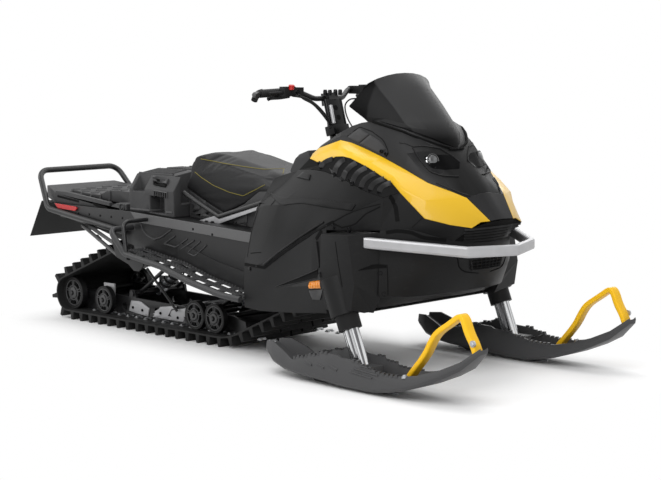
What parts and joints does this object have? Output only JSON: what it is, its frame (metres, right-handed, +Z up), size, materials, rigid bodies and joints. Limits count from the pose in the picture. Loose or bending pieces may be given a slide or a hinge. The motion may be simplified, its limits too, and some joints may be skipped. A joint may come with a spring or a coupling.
{
  "type": "snowmobile",
  "caption": "Utility snowmobile with a rubber track, yellow and black hood, cargo box, rear grab hoop and two steered skis.",
  "frame": {"origin": "centre of the footprint's bounding box, on the ground under track and skis", "axes": "+X forwards to the ski tips, +Y to the rider's left, +Z up"},
  "size_m": [3.11, 1.068, 1.186],
  "materials": {
    "track_rubber": "matte",
    "rail_alloy": "satin",
    "wheel_black": "satin",
    "frame_black": "satin",
    "spring_steel": "satin",
    "tunnel_black": "satin",
    "strip_grey": "satin",
    "deck_black": "textured",
    "flap_rubber": "matte",
    "lens_red": "gloss",
    "box_black": "textured",
    "seat_cover": "matte",
    "frame_silver": "satin",
    "engine_iron": "rough",
    "panel_charcoal": "satin",
    "panel_black": "satin",
    "lens_orange": "gloss",
    "gloss_black": "gloss",
    "paint_yellow": "gloss",
    "lamp_glass": "gloss",
    "bumper_silver": "satin",
    "screen_black": "gloss",
    "grip_rubber": "matte",
    "control_black": "satin",
    "chrome_leg": "polished",
    "ski_black": "satin",
    "loop_yellow": "satin"
  },
  "bodies": {
    "chassis": {"track": "track_rubber", "slide_rails": "rail_alloy", "idler_wheels": "wheel_black", "bogie_wheels": "wheel_black", "carrier_wheels": "wheel_black", "drive_axle": "wheel_black", "suspension_arms": "frame_black", "spring_legs": "spring_steel", "tunnel": "tunnel_black", "side_strips": "strip_grey", "running_boards": "tunnel_black", "board_struts": "frame_black", "toe_loops": "frame_black", "rear_hoop": "frame_black", "rear_deck": "deck_black", "snow_flap": "flap_rubber", "tail_lamps": "lens_red", "tow_hitch": "frame_black", "cargo_box": "box_black", "seat": "seat_cover", "fuel_tank": "box_black", "console": "deck_black", "seat_frame": "frame_black", "frame_plates": "frame_silver", "engine": "engine_iron", "side_panels": "panel_charcoal", "lower_panels": "panel_black", "reflectors": "lens_orange", "louvres": "gloss_black", "hood_bands": "paint_yellow", "hood": "gloss_black", "headlamps": "lamp_glass", "fascia": "panel_black", "nose_plate": "gloss_black", "nose_grille": "panel_black", "front_pan": "panel_black", "belly_pan": "panel_black", "towers": "panel_black", "bumper": "bumper_silver", "windscreen": "screen_black"},
    "steering": {"steering_post": "frame_silver", "handlebar": "frame_black", "grips": "grip_rubber", "controls": "control_black", "cables": "grip_rubber"},
    "ski_left_body": {"ski_leg_left": "chrome_leg", "ski_left": "ski_black", "ski_loop_left": "loop_yellow"},
    "ski_right_body": {"ski_leg_right": "chrome_leg", "ski_right": "ski_black", "ski_loop_right": "loop_yellow"}
  },
  "joints": [
    {"name": "steering_turn", "type": "hinge", "parent": "chassis", "child": "steering", "pos_m": [0.352, 0, 0.93], "axis": [-0.1219, 0, 0.9925], "range_deg": [-36, 36]},
    {"name": "ski_left_turn", "type": "hinge", "parent": "chassis", "child": "ski_left_body", "pos_m": [0.938, 0.45, 0.115], "axis": [-0.3778, 0, 0.9259], "range_deg": [-29, 29]},
    {"name": "ski_right_turn", "type": "hinge", "parent": "chassis", "child": "ski_right_body", "pos_m": [0.938, -0.45, 0.115], "axis": [-0.3778, 0, 0.9259], "range_deg": [-29, 29]}
  ],
  "couplings": [
    {"joint": "ski_left_turn", "follows": "steering_turn", "ratio": 0.8},
    {"joint": "ski_right_turn", "follows": "steering_turn", "ratio": 0.8}
  ]
}
